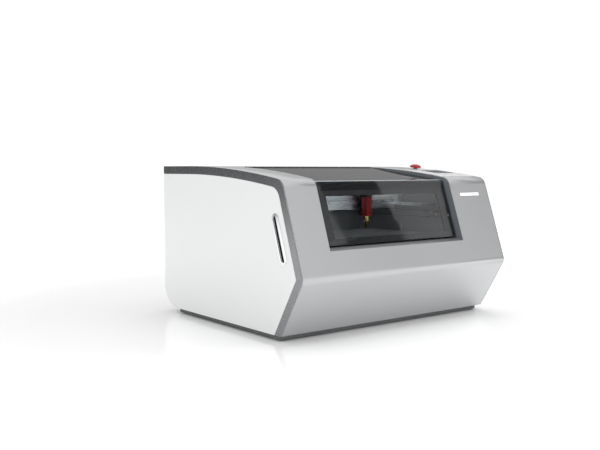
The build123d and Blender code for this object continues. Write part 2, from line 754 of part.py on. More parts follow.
with BuildPart() as strut_brackets:
    for block_x in both_sides(strut_out[1] + 1, wall_half):
        slab(block_x, span(strut_foot.X, 26), span(strut_foot.Y, 22))
    for stud in both_sides(strut_out[0], strut_out[1] + 2):
        bar((stud[0], *strut_foot), stud_radius, stud[1] - stud[0], X_AXIS)
strut_brackets.part.label = "strut_brackets"
pieces.append(strut_brackets)

# ---------------------------------------------------------------- chamber
shaft_y, shaft_z = 120.0, 350.0
plate_gap = 0.1  # between the plates of the welded tub
inner_x = (chamber_x - wall_half + plate_gap, chamber_x + wall_half - plate_gap)
with BuildPart() as chamber_walls:
    for xs in both_sides(wall_half, wall_half + wall):
        with BuildSketch(Plane.YZ.offset(xs[0])) as wall_section:
            make_face(side_outline(40))
            with Locations(((chamber_front_y + chamber_rear_y) / 2, chamber_floor_z - wall)):
                Rectangle(
                    chamber_rear_y - chamber_front_y + 2 * wall, 400,
                    align=(Align.CENTER, Align.MIN), mode=Mode.INTERSECT,
                )
        extrude(wall_section.sketch, amount=wall)
    bar((chamber_x + wall_half - 1, shaft_y, shaft_z), 6, 4, X_AXIS, Mode.SUBTRACT)
    slab(inner_x, (chamber_rear_y, chamber_rear_y + wall), (chamber_floor_z + plate_gap, 470))
    slab(inner_x, (chamber_front_y - wall, chamber_front_y), (chamber_floor_z + plate_gap, 264))
    # fume outlet low in the rear wall
    for slot in range(5):
        slab(span(chamber_x - 120 + 60 * slot, 46), (130, 140), (140, 190), Mode.SUBTRACT)
    # floor, with holes for the lead screws
    slab(inner_x, (chamber_front_y - wall, chamber_rear_y + wall), (chamber_floor_z - wall, chamber_floor_z))
    for x in screw_x:
        bar((x, screw_y, chamber_floor_z - 5), 14, 10, Z_AXIS, Mode.SUBTRACT)
chamber_walls.part.label = "chamber_walls"
pieces.append(chamber_walls)

# ---------------------------------------------------------------- Y drive
rail_out = (285.0, 297.0)
rail_z = (375.0, 387.0)
rail_y = (-262.0, 127.0)
belt_out = (275.0, 281.0)
pulley_radius = 9.5
belt_thickness = 1.5
idler_y = -268.0

with BuildPart() as y_rails:
    for xs in both_sides(*rail_out):
        slab(xs, rail_y, rail_z)
        slab((xs[0] - 1, xs[0] + 3), (rail_y[0] - 1, rail_y[1] + 1), (380, 383), Mode.SUBTRACT)
        slab((xs[1] - 3, xs[1] + 1), (rail_y[0] - 1, rail_y[1] + 1), (380, 383), Mode.SUBTRACT)
y_rails.part.label = "y_rails"
pieces.append(y_rails)

shelf_boxes = [
    ((rail_out[0], wall_half), (rail_y, (371.0, rail_z[0]))),
    ((305.0, wall_half), (rail_y, (345.0, 372.0))),
    ((rail_out[1], wall_half), (span(shaft_y, 24), (338.0, 372.0))),
]
with BuildPart() as rail_shelves:
    # plate under each rail, its leg on the wall and a bearing block for the shaft
    for shelf, places in shelf_boxes:
        for xs in both_sides(*shelf):
            slab(xs, *places)
    bar((chamber_x - 304, shaft_y, shaft_z), 4 + running, 620, X_AXIS, Mode.SUBTRACT)
rail_shelves.part.label = "rail_shelves"
pieces.append(rail_shelves)

with BuildPart() as y_belts:
    inner_belt = pulley_radius + 0.2
    for xs in both_sides(*belt_out):
        with BuildSketch(Plane.YZ.offset(xs[0])) as belt_section:
            with Locations(((shaft_y + idler_y) / 2, shaft_z)):
                SlotCenterToCenter(shaft_y - idler_y, 2 * (inner_belt + belt_thickness))
                SlotCenterToCenter(shaft_y - idler_y, 2 * inner_belt, mode=Mode.SUBTRACT)
        extrude(belt_section.sketch, amount=xs[1] - xs[0])
y_belts.part.label = "y_belts"
pieces.append(y_belts)

with BuildPart() as y_shaft:
    bar((chamber_x - 304, shaft_y, shaft_z), 4, 304 + wall_half + 8, X_AXIS)
    for xs in both_sides(*belt_out):
        bar((xs[0] - 1, shaft_y, shaft_z), pulley_radius, 8, X_AXIS)
        bar((xs[0] - 3, shaft_y, shaft_z), pulley_radius + 2.2, 2, X_AXIS)
        bar((xs[1] + 1, shaft_y, shaft_z), pulley_radius + 2.2, 2, X_AXIS)
y_shaft.part.label = "y_shaft"
pieces.append(y_shaft)

with BuildPart() as y_motor:
    motor_x = chamber_x + wall_half + wall
    slab((motor_x, motor_x + 54), span(shaft_y, 57), span(shaft_z, 57))
    fillet(y_motor.edges().filter_by(Axis.X), 4)
    bar((motor_x - 1, shaft_y, shaft_z), 9, 10, X_AXIS, Mode.SUBTRACT)
y_motor.part.label = "y_motor"
pieces.append(y_motor)

# ---------------------------------------------------------------- gantry
beam_y = (-85.0, -50.0)
beam_z = (365.0, 415.0)
beam_half = 276.0
x_pulley_out = 250.0
x_belt_y = sum(beam_y) / 2
x_pulley_radius = 8.0
x_belt_z = (419.0, 425.0)

with BuildPart() as gantry_beam:
    slab(span(chamber_x, 2 * beam_half), beam_y, beam_z)
    slab(span(chamber_x, 2 * beam_half + 2), (beam_y[0] + 3, beam_y[1] - 3), (beam_z[0] + 3, beam_z[1] - 3),
         Mode.SUBTRACT)
    bar((chamber_x - x_pulley_out, x_belt_y, 360), 4, 60, Z_AXIS, Mode.SUBTRACT)
gantry_beam.part.label = "gantry_beam"
pieces.append(gantry_beam)

with BuildPart() as gantry_ends:
    block_y = (-100.0, -35.0)
    clear = 0.3
    groove = (rail_out[0] - clear, rail_out[1] + clear)
    for body, cut in zip(both_sides(beam_half, 303), both_sides(*groove)):
        slab(body, block_y, (377, 415))
        slab(cut, (block_y[0] - 1, block_y[1] + 1), (376, rail_z[1] + clear), Mode.SUBTRACT)
    # belt clamps hang below and grip the upper strand
    strand_z = shaft_z + inner_belt
    for tab, slot in zip(both_sides(273, 283.5), both_sides(belt_out[0] - 0.6, belt_out[1] + 0.6)):
        slab(tab, (-80, -55), (354, 364.8))
        slab(slot, (-81, -54), (strand_z - 0.5, strand_z + belt_thickness + 0.5), Mode.SUBTRACT)
    for neck in both_sides(276.2, 283.5):
        slab(neck, (-80, -55), (364, 378))
gantry_ends.part.label = "gantry_ends"
pieces.append(gantry_ends)

x_rail_z = (384.0, 396.0)
with BuildPart() as x_rail:
    slab(span(chamber_x, 524), (beam_y[0] - 10, beam_y[0]), x_rail_z)
x_rail.part.label = "x_rail"
pieces.append(x_rail)

with BuildPart() as x_motor:
    motor_centre = chamber_x - x_pulley_out
    slab(span(motor_centre, 42), span(x_belt_y, 42), (325, beam_z[0]))
    fillet(x_motor.edges().filter_by(Axis.Z), 4)
    bar((motor_centre, x_belt_y, 355), 8, 11, Z_AXIS, Mode.SUBTRACT)
x_motor.part.label = "x_motor"
pieces.append(x_motor)

with BuildPart() as x_pulley:
    bar((motor_centre, x_belt_y, 356), 2.5, 62, Z_AXIS)
    bar((motor_centre, x_belt_y, 417), x_pulley_radius, 9, Z_AXIS)
    for z in (417, 425.6):
        bar((motor_centre, x_belt_y, z), x_pulley_radius + 1.5, 1.2, Z_AXIS)
x_pulley.part.label = "x_pulley"
pieces.append(x_pulley)

with BuildPart() as x_belt:
    with BuildSketch(Plane.XY.offset(x_belt_z[0])):
        with Locations((chamber_x, x_belt_y)):
            SlotCenterToCenter(2 * x_pulley_out, 2 * (x_pulley_radius + 0.2 + 1.2))
            SlotCenterToCenter(2 * x_pulley_out, 2 * (x_pulley_radius + 0.2), mode=Mode.SUBTRACT)
    extrude(amount=x_belt_z[1] - x_belt_z[0])
x_belt.part.label = "x_belt"
pieces.append(x_belt)

# ---------------------------------------------------------------- laser head
head_x = 72.0
plate_width = 30.0
plate_y = (-104.0, -96.5)
cover_width, cover_depth = 26.0, 28.0
cover_z = (343.0, 408.0)
cover_wall = 1.5
arm_width = 24.0
holder_width = 22.0
nozzle_y = -118.0
lens_radius = 8.0
ring_radius = 9.5  # knurled ring that the focus is set by
mirror_bore = 4.0
front_strand_y = x_belt_y - x_pulley_radius - 0.2

with BuildPart() as carriage:
    slab(span(head_x, plate_width), plate_y, (345, 416))
    # bearing jaws over and under the rail
    for jaw_z in ((x_rail_z[1] + clear, 403), (377, x_rail_z[0] - clear)):
        slab(span(head_x, plate_width), (plate_y[1] - 0.5, -86.2), jaw_z)
    # arm that is clamped to the front strand of the belt
    slab(span(head_x, arm_width), (plate_y[0], front_strand_y - 1.7), (417.5, 428))
    slab(span(head_x, arm_width), plate_y, (415, 418))
    # lens holder with its split clamp, and the last mirror's block above it
    for holder_z in ((345, 375), (386, 402)):
        slab(span(head_x, holder_width), (nozzle_y - 11, plate_y[0] + 1), holder_z)
    bar((head_x, nozzle_y, 340), lens_radius + running, 40, Z_AXIS, Mode.SUBTRACT)
    bar((head_x, nozzle_y, 380), mirror_bore, 14, Z_AXIS, Mode.SUBTRACT)
carriage.part.label = "carriage"
pieces.append(carriage)

cover_y = (plate_y[0] - cover_depth, plate_y[0])
with BuildPart() as head_cover:
    with BuildSketch(Plane.XY.offset(cover_z[0])):
        with Locations((head_x, sum(cover_y) / 2)):
            Rectangle(cover_width, cover_depth)
    extrude(amount=cover_z[1] - cover_z[0])
    fillet(head_cover.edges().filter_by(Axis.Z).group_by(Axis.Y)[0], 4)
    slab(span(head_x, cover_width - 2 * cover_wall), (cover_y[0] + cover_wall, cover_y[1] + 1),
         (cover_z[0] - 1, cover_z[1] - cover_wall), Mode.SUBTRACT)
head_cover.part.label = "head_cover"
pieces.append(head_cover)

with BuildPart() as head_cap:
    with BuildSketch(Plane.XY.offset(cover_z[1])):
        with Locations((head_x, sum(cover_y) / 2)):
            Rectangle(cover_width - 2, cover_depth - 2)
    extrude(amount=6)
    fillet(head_cap.edges().filter_by(Axis.Z).group_by(Axis.Y)[0], 3)
    fillet(head_cap.edges().group_by(Axis.Z)[-1], 1.5)
head_cap.part.label = "head_cap"
pieces.append(head_cap)

with BuildPart() as lens_tube:
    with BuildSketch(Plane.XZ):
        with BuildLine():
            Polyline(
                (mirror_bore, 372), (lens_radius, 372), (lens_radius, 330), (ring_radius, 330),
                (ring_radius, 322), (lens_radius, 322), (lens_radius, 315), (4, 300), (2, 300), (2, 312),
                (mirror_bore, 320), close=True,
            )
        make_face()
    revolve(axis=Axis.Z)
lens_tube.part = lens_tube.part.moved(Location((head_x, nozzle_y, 0)))
lens_tube.part.label = "lens_tube"
pieces.append(lens_tube)

# ---------------------------------------------------------------- rising table
table_top = 285.0
table_half = (250.0, 150.0)
table_x = chamber_x
bed_depth = 14.0
nut_radius = 10.0

with BuildPart() as table_frame:
    frame_z = (table_top - 20, table_top - 2)
    slab(span(table_x, 2 * table_half[0] + 48), span(screw_y, 2 * table_half[1] + 30), frame_z)
    slab(span(table_x, 2 * table_half[0]), span(screw_y, 2 * table_half[1]), (frame_z[0] - 1, frame_z[1] + 1),
         Mode.SUBTRACT)
    for y in (screw_y - 75, screw_y, screw_y + 75):
        slab(span(table_x, 2 * table_half[0] + 4), span(y, 14), (frame_z[0], table_top - bed_depth))
    for x in screw_x:
        bar((x, screw_y, frame_z[0] - 1), screw_radius + running, 30, Z_AXIS, Mode.SUBTRACT)
table_frame.part.label = "table_frame"
pieces.append(table_frame)

with BuildPart() as honeycomb_bed:
    bed_size = [2 * half - 0.8 for half in table_half]
    slab(span(table_x, bed_size[0]), span(screw_y, bed_size[1]), (table_top - bed_depth, table_top))
honeycomb_bed.part.label = "honeycomb_bed"
pieces.append(honeycomb_bed)

with BuildPart() as table_nuts:
    for x in screw_x:
        bar((x, screw_y, frame_z[0] - 10), nut_radius, 10)
        bar((x, screw_y, frame_z[0] - 12), screw_radius + running, 14, Z_AXIS, Mode.SUBTRACT)
table_nuts.part.label = "table_nuts"
pieces.append(table_nuts)

for side, x in zip(("left", "right"), screw_x):
    with BuildPart() as lead_screw:
        bar((x, screw_y, bearing_top + 0.2), screw_radius, screw_top - bearing_top - 0.2)
        bar((x, screw_y, 42), 14, 10)
        chamfer(lead_screw.edges().group_by(Axis.Z)[-1], 1)
    lead_screw.part.label = f"lead_screw_{side}"
    pieces.append(lead_screw)

# ---------------------------------------------------------------- laser tube and electronics
laser_y, laser_z = 255.0, 420.0
laser_radius = 27.5
laser_x = (-370.0, 270.0)
electrode_radius, electrode_length = 14.0, 42.0
with BuildPart() as laser_tube:
    bar((laser_x[0], laser_y, laser_z), laser_radius, laser_x[1] - laser_x[0], X_AXIS)
    fillet(laser_tube.edges(), 6)
    electrodes = laser_x[1] - laser_x[0] + 2 * electrode_length
    bar((laser_x[0] - electrode_length, laser_y, laser_z), electrode_radius, electrodes, X_AXIS)
laser_tube.part.label = "laser_tube"
pieces.append(laser_tube)

bracket_width = 20.0
with BuildPart() as tube_brackets:
    for x in (-230.0, 130.0):
        slab(span(x, bracket_width), (chamber_rear_y + wall, laser_y), span(laser_z, 48))
        bar((x - bracket_width / 2, laser_y, laser_z), laser_radius + 8.5, bracket_width, X_AXIS)
        bar((x - bracket_width, laser_y, laser_z), laser_radius + 0.1, 2 * bracket_width, X_AXIS, Mode.SUBTRACT)
tube_brackets.part.label = "tube_brackets"
pieces.append(tube_brackets)

supply_x, supply_y = (300.0, 430.0), (100.0, 300.0)
supply_height = 110.0
with BuildPart() as power_supply:
    slab(supply_x, supply_y, (tray_top, tray_top + supply_height))
    with BuildSketch(Plane.XY.offset(tray_top + supply_height)):
        with Locations((sum(supply_x) / 2, sum(supply_y) / 2)):
            with GridLocations(0, 14, 1, 9):
                SlotOverall(90, 5)
    extrude(amount=-2, mode=Mode.SUBTRACT)
power_supply.part.label = "power_supply"
pieces.append(power_supply)

board_y, board_z = (-170.0, 30.0), (150.0, 290.0)
board_off = 12.0  # from the chamber's wall
board_thickness = 2.0
post_inset = 10.0
# place, size and height of the parts on the board: processor, heat sink, driver row, terminals, relay
board_parts = [
    (-120, 240, 34, 34, 6),
    (-60, 230, 60, 40, 22),
    (0, 220, 24, 90, 14),
    (-120, 175, 70, 22, 14),
    (-40, 175, 40, 16, 10),
]
with BuildPart() as controller_board:
    wall_x = chamber_x + wall_half + wall
    board_x = wall_x + board_off
    slab((board_x, board_x + board_thickness), board_y, board_z)
    for y in (board_y[0] + post_inset, board_y[1] - post_inset):
        for z in (board_z[0] + post_inset, board_z[1] - post_inset):
            bar((wall_x, y, z), 4, board_off + 0.5, X_AXIS)
    for y, z, width, height, tall in board_parts:
        slab((board_x + 1, board_x + board_thickness + tall), span(y, width), span(z, height))
controller_board.part.label = "controller_board"
pieces.append(controller_board)

# ---------------------------------------------------------------- write the pieces
os.makedirs("parts", exist_ok=True)
for piece in pieces:
    export_step(piece.part, f"parts/{piece.part.label}.step")

lid_swing = degrees(atan2(strut_run.Y, strut_run.X))
print(f"{len(pieces)} pieces written, strut at {lid_swing:.1f} degrees and {strut_length:.1f} mm long")
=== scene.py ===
import json
import math

import bmesh
import bpy
from mathutils import Matrix, Vector


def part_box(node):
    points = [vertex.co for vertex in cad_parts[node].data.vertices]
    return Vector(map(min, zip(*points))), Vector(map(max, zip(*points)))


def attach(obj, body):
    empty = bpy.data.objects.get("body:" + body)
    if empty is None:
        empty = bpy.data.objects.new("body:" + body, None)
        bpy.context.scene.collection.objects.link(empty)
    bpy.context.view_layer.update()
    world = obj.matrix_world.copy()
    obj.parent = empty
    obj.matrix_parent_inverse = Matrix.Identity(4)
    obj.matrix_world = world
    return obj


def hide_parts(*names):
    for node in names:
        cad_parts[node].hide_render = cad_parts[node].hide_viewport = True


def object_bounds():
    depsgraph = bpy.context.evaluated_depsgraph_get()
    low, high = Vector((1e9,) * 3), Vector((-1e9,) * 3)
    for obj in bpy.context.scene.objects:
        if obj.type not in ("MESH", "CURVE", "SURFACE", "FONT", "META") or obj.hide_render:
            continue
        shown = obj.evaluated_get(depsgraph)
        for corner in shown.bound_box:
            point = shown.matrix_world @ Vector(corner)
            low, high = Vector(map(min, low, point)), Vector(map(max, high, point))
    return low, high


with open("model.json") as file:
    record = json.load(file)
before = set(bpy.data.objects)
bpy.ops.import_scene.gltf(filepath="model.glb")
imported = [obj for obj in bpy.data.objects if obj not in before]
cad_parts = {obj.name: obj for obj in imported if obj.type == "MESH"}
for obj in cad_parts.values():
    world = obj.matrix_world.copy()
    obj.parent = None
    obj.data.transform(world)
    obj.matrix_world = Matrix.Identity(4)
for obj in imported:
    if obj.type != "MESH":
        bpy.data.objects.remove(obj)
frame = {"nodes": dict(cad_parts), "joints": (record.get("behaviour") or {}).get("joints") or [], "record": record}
cad_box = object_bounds()

MM = 0.001
UP = Vector((0, 0, 1))


# ---------------------------------------------------------------- materials
class Finish:
    """A material with one Principled shader, and short calls that add detail to it."""

    def __init__(self, name, colour, **values):
        self.material = bpy.data.materials.new(name)
        self.material.use_nodes = True
        self.tree = self.material.node_tree
        self.shader = self.tree.nodes["Principled BSDF"]
        self.shader.inputs["Base Color"].default_value = (*colour, 1)
        for socket, value in values.items():
            self.shader.inputs[socket.replace("_", " ")].default_value = value
        self.colour = colour
        self.place = self.add("ShaderNodeTexCoord").outputs["Object"]
        self.normal = None

    def add(self, kind, inputs=None, **settings):
        """A node whose inputs are linked to a socket or set to a value."""
        node = self.tree.nodes.new(kind)
        for key, value in settings.items():
            setattr(node, key, value)
        for key, value in (inputs or {}).items():
            if isinstance(value, bpy.types.NodeSocket):
                self.tree.links.new(value, node.inputs[key])
            else:
                node.inputs[key].default_value = value
        return node

    def noise(self, per_metre, detail=3.0, stretch=(1, 1, 1)):
        """Noise with so many features per metre, stretched along the axes."""
        mapping = self.add("ShaderNodeMapping", {"Vector": self.place, "Scale": stretch})
        field = {"Vector": mapping.outputs["Vector"], "Scale": per_metre, "Detail": detail}
        return self.add("ShaderNodeTexNoise", field).outputs["Fac"]

    def spread(self, value, low, high):
        """A value of noise spread between two limits."""
        limits = {"Value": value, "From Min": 0.3, "From Max": 0.7, "To Min": low, "To Max": high}
        return self.add("ShaderNodeMapRange", limits).outputs["Result"]

    def drive(self, socket, value):
        self.tree.links.new(value, self.shader.inputs[socket])

    def rough(self, value, low, high):
        self.drive("Roughness", self.spread(value, low, high))
        return self

    def tint(self, value, darker, lighter):
        """Colour that varies between two shades of the base colour."""
        mix = self.add("ShaderNodeMix", {"Factor": self.spread(value, 0, 1)}, data_type="RGBA")
        mix.inputs["A"].default_value = (*[c * darker for c in self.colour], 1)
        mix.inputs["B"].default_value = (*[min(c * lighter, 1) for c in self.colour], 1)
        self.drive("Base Color", mix.outputs["Result"])
        return self

    def bump(self, height, depth, strength=1.0):
        """Relief of a depth in metres, on top of any bump already there."""
        inputs = {"Height": height, "Distance": depth, "Strength": strength}
        if self.normal is not None:
            inputs["Normal"] = self.normal
        self.normal = self.add("ShaderNodeBump", inputs).outputs["Normal"]
        self.drive("Normal", self.normal)
        return self


def paint(name, colour, roughness, metallic=0.0, flake=0.03, peel=0.00003, **values):
    """Sprayed paint: slight orange peel, fine flake and handling marks in its gloss."""
    made = Finish(name, colour, Metallic=metallic, Roughness=roughness, **values)
    made.tint(made.noise(1800, 1), 1 - flake, 1 + flake)
    made.rough(made.noise(30, 2), roughness * 0.96, roughness * 1.05)
    made.bump(made.noise(320, 2), peel)
    return made.material


def powder(name, colour, roughness, grain=0.00006, **values):
    """Powder coat: an even fine pebble."""
    made = Finish(name, colour, Roughness=roughness, **values)
    made.tint(made.noise(12, 3), 0.95, 1.05)
    made.rough(made.noise(40, 3), roughness * 0.88, roughness * 1.12)
    made.bump(made.noise(900, 2), grain)
    return made.material


def plastic(name, colour, roughness, grain=0.00002, **values):
    """Moulded plastic: fine spark-eroded grain and faint wear."""
    made = Finish(name, colour, Roughness=roughness, **values)
    made.tint(made.noise(25, 4), 0.93, 1.07)
    made.rough(made.noise(60, 4), roughness * 0.85, roughness * 1.2)
    made.bump(made.noise(1600, 2), grain)
    return made.material


def metal(name, colour, roughness, stretch=(1, 1, 1), grain=0.00001, **values):
    """Bare metal with a drawn or ground grain along one axis."""
    made = Finish(name, colour, Metallic=1.0, Roughness=roughness, **values)
    lines = made.noise(900, 2, stretch)
    made.tint(made.noise(14, 4), 0.9, 1.05)
    made.rough(lines, roughness * 0.75, roughness * 1.3)
    made.bump(lines, grain)
    return made.material


def glazing(name, clear, ior=1.5):
    """Tinted pane: each face lets part of the light through, and its outer side is polished."""
    made = Finish(name, clear)
    made.tree.nodes.remove(made.shader)
    through = made.add("ShaderNodeBsdfTransparent", {"Color": (*clear, 1)})
    film = made.spread(made.noise(6, 5), 0.01, 0.05)
    gloss = made.add("ShaderNodeBsdfGlossy", {"Roughness": film})
    edge = made.add("ShaderNodeFresnel", {"IOR": ior})
    inside = made.add("ShaderNodeNewGeometry").outputs["Backfacing"]
    outside = made.add("ShaderNodeMath", {0: 1.0, 1: inside}, operation="SUBTRACT")
    both = {0: edge.outputs["Fac"], 1: outside.outputs[0]}
    share = made.add("ShaderNodeMath", both, operation="MULTIPLY").outputs[0]
    mix = made.add("ShaderNodeMixShader", {0: share, 1: through.outputs[0], 2: gloss.outputs[0]})
    made.tree.links.new(mix.outputs[0], made.tree.nodes["Material Output"].inputs["Surface"])
    return made.material


def glow(name, colour, strength):
    made = Finish(name, colour, Roughness=0.5, Emission_Strength=strength)
    made.shader.inputs["Emission Color"].default_value = (*colour, 1)
    made.bump(made.noise(400, 1), 0.00002)
    return made.material


looks = {
    "silver_paint": paint("silver_paint", (0.50, 0.51, 0.515), 0.36, 0.85, peel=0.000015,
                          Coat_Weight=0.2, Coat_Roughness=0.12),
    "trim_grey": paint("trim_grey", (0.315, 0.325, 0.332), 0.27, 0.9, flake=0.008, peel=0.000008),
    "white_paint": paint("white_paint", (0.775, 0.788, 0.782), 0.32, flake=0.006, peel=0.000006),
    "dark_steel": powder("dark_steel", (0.13, 0.135, 0.14), 0.55),
    "chamber_grey": powder("chamber_grey", (0.36, 0.37, 0.38), 0.5),
    "black_frame": powder("black_frame", (0.012, 0.012, 0.014), 0.35, 0.00002),
    "tinted_glass": glazing("tinted_glass", (0.40, 0.41, 0.42), 1.6),
    "clear_glass": glazing("clear_glass", (0.86, 0.88, 0.89)),
    "display_glass": plastic("display_glass", (0.03, 0.032, 0.036), 0.3, 0.000002, Specular_IOR_Level=0.12),
    "panel_plastic": plastic("panel_plastic", (0.66, 0.67, 0.68), 0.3),
    "black_plastic": plastic("black_plastic", (0.022, 0.022, 0.024), 0.5),
    "red_plastic": plastic("red_plastic", (0.30, 0.006, 0.016), 0.3, 0.000008),
    "key_grey": plastic("key_grey", (0.6, 0.61, 0.62), 0.3, 0.000008),
    "panel_white": plastic("panel_white", (0.86, 0.865, 0.87), 0.16, 0.000006, Coat_Weight=0.4),
    "slate_plastic": plastic("slate_plastic", (0.16, 0.175, 0.19), 0.42),
    "cover_red": plastic("cover_red", (0.42, 0.02, 0.025), 0.3),
    "chrome": metal("chrome", (0.86, 0.87, 0.89), 0.07, grain=0.000002),
    "steel": metal("steel", (0.58, 0.59, 0.6), 0.24, (1, 1, 0.05)),
    "aluminium": metal("aluminium", (0.72, 0.73, 0.74), 0.3, (0.03, 1, 1)),
    "black_anodised": metal("black_anodised", (0.035, 0.036, 0.04), 0.34, (0.05, 1, 1)),
    "honeycomb": metal("honeycomb", (0.52, 0.52, 0.52), 0.38),
    "brass": metal("brass", (0.72, 0.5, 0.2), 0.24),
    "rubber": powder("rubber", (0.018, 0.018, 0.018), 0.75),
    "belt_rubber": plastic("belt_rubber", (0.016, 0.016, 0.016), 0.6),
    "tube_glass": glazing("tube_glass", (0.9, 0.94, 0.95), 1.47),
    "circuit_green": plastic("circuit_green", (0.02, 0.14, 0.05), 0.35),
    "light_white": glow("light_white", (0.93, 0.94, 0.95), 0.12),
}
strip_light = glow("strip_light", (1.0, 0.98, 0.95), 9.0)
screen_blue = glow("screen_blue", (0.16, 0.24, 0.3), 0.08)
mirror_gold = metal("mirror_gold", (0.95, 0.72, 0.35), 0.03, grain=0.000001)
legend_white = plastic("legend_white", (0.75, 0.75, 0.75), 0.4)

slot_of = {entry["node"]: entry["material_slot"] for entry in frame["record"]["subparts"]}


# ---------------------------------------------------------------- carried-over parts
SOFT_EDGES = {
    "body_shell": 0.5, "edge_trims": 0.6, "side_panel_left": 0.6, "side_panel_right": 0.6,
    "rear_panel": 0.4, "plinth_skirt": 0.5, "lid_front_glass": 0.6, "lid_top_glass": 0.6,
    "handle_cups": 0.8, "handle_grips": 0.7, "control_panel": 0.8, "estop_base": 0.5,
}
DEFAULT_EDGE = 0.35


def soften(node, width):
    """Joins the node's faces and rounds its edges a little, so that they catch the light."""
    weld = node.modifiers.new("Weld", "WELD")
    weld.merge_threshold = 0.00002
    bevel = node.modifiers.new("Bevel", "BEVEL")
    bevel.width = width * MM
    bevel.segments = 2
    bevel.limit_method = "ANGLE"
    bevel.angle_limit = math.radians(40)
    bevel.harden_normals = True


for name, node in frame["nodes"].items():
    node.material_slots[0].material = looks[slot_of[name]]
    soften(node, SOFT_EDGES.get(name, DEFAULT_EDGE))


# ---------------------------------------------------------------- mesh helpers
def middle(node):
    low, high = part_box(node)
    return (low + high) / 2


def add_piece(name, shape, finish, body, crease=35, edge=0.0):
    """Turns a bmesh into a piece of the object that rides on a body."""
    bmesh.ops.remove_doubles(shape, verts=shape.verts, dist=0.000002)
    bmesh.ops.recalc_face_normals(shape, faces=shape.faces)
    mesh = bpy.data.meshes.new(name)
    shape.to_mesh(mesh)
    shape.free()
    mesh.materials.append(finish)
    mesh.shade_smooth()
    mesh.set_sharp_from_angle(angle=math.radians(crease))
    made = bpy.data.objects.new(name, mesh)
    bpy.context.scene.collection.objects.link(made)
    if edge:
        bevel = made.modifiers.new("Bevel", "BEVEL")
        bevel.width = edge * MM
        bevel.segments = 2
        bevel.limit_method = "ANGLE"
        bevel.harden_normals = True
    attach(made, body)
    return made


def add_block(shape, low, high, place=None):
    low, high = Vector(low), Vector(high)
    size = Matrix.Diagonal((*(high - low), 1))
    matrix = (place or Matrix()) @ Matrix.Translation((low + high) / 2) @ size
    bmesh.ops.create_cube(shape, size=1, matrix=matrix)


def add_turned(shape, outline, place, steps=48, closed=True):
    """Turns (radius, height) points about the local Z axis."""
    rings = []
    for radius, height in outline:
        ring = []
        for step in range(steps):
            angle = step / steps * math.tau
            spot = Vector((radius * math.cos(angle), radius * math.sin(angle), height))
            ring.append(shape.verts.new(place @ spot))
        rings.append(ring)
    following = rings[1:] + rings[:1] if closed else rings[1:]
    for one, two in zip(rings, following):
        for step in range(steps):
            after = (step + 1) % steps
            shape.faces.new((one[step], one[after], two[after], two[step]))


def add_disc(shape, radius, bottom, top, place, steps=32, edge=0.0003):
    """Solid round with softened rims."""
    tiny = 0.000001
    outline = [
        (tiny, bottom), (radius - edge, bottom), (radius, bottom + edge),
        (radius, top - edge), (radius - edge, top), (tiny, top),
    ]
    add_turned(shape, outline, place, steps)


def add_plate(shape, outline, low, high, place):
    """Flat outline with some thickness along the local Z axis."""
    bottom = [shape.verts.new(place @ Vector((x, y, low))) for x, y in outline]
    top = [shape.verts.new(place @ Vector((x, y, high))) for x, y in outline]
    shape.faces.new(bottom[::-1])
    shape.faces.new(top)
    for step in range(len(outline)):
        after = (step + 1) % len(outline)
        shape.faces.new((bottom[step], bottom[after], top[after], top[step]))


def facing(origin, normal, right=(1, 0, 0)):
    """Matrix whose Z axis looks along a normal, with X as near as can be to a direction."""
    z = Vector(normal).normalized()
    y = z.cross(Vector(right)).normalized()
    x = y.cross(z)
    turn = Matrix((x, y, z)).transposed().to_4x4()
    return Matrix.Translation(origin) @ turn


# ---------------------------------------------------------------- honeycomb
def honeycomb(low, high, cell=0.0115, wall=0.0007):
    """Hexagon cells inside a plain rim, open from top to bottom."""
    shape = bmesh.new()
    rim = 0.008
    outline = [(low.x, low.y), (high.x, low.y), (high.x, high.y), (low.x, high.y)]
    inner = [(low.x + rim, low.y + rim), (high.x - rim, low.y + rim),
             (high.x - rim, high.y - rim), (low.x + rim, high.y - rim)]
    corners = []
    for ring, height in ((outline, low.z), (outline, high.z), (inner, high.z), (inner, low.z)):
        corners.append([shape.verts.new((x, y, height)) for x, y in ring])
    for one, two in zip(corners, corners[1:] + corners[:1]):
        for step in range(4):
            after = (step + 1) % 4
            shape.faces.new((one[step], one[after], two[after], two[step]))
    row_pitch = cell * math.sqrt(3) / 2
    half = cell / math.sqrt(3)
    hole = half - wall
    rows = int((high.y - low.y - 2 * rim) / row_pitch)
    columns = int((high.x - low.x - 2 * rim) / cell)
    top, bottom = high.z - 0.0003, low.z + 0.0003
    start_x = (low.x + high.x) / 2 - (columns - 1) * cell / 2
    start_y = (low.y + high.y) / 2 - (rows - 1) * row_pitch / 2
    spokes = [(math.sin(k * math.pi / 3), math.cos(k * math.pi / 3)) for k in range(6)]
    for row in range(rows):
        shift = cell / 4 if row % 2 else -cell / 4
        for column in range(columns):
            x = start_x + column * cell + shift
            y = start_y + row * row_pitch
            loops = []
            for size, height in ((half, bottom), (half, top), (hole, top), (hole, bottom)):
                loops.append([shape.verts.new((x + size * u, y + size * v, height)) for u, v in spokes])
            for one, two in ((loops[1], loops[2]), (loops[2], loops[3]), (loops[3], loops[0])):
                for step in range(6):
                    after = (step + 1) % 6
                    shape.faces.new((one[step], one[after], two[after], two[step]))
    return shape


bed_low, bed_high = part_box("honeycomb_bed")
bed = add_piece("honeycomb_cells", honeycomb(bed_low, bed_high), looks["honeycomb"], "table", 20)
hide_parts("honeycomb_bed")


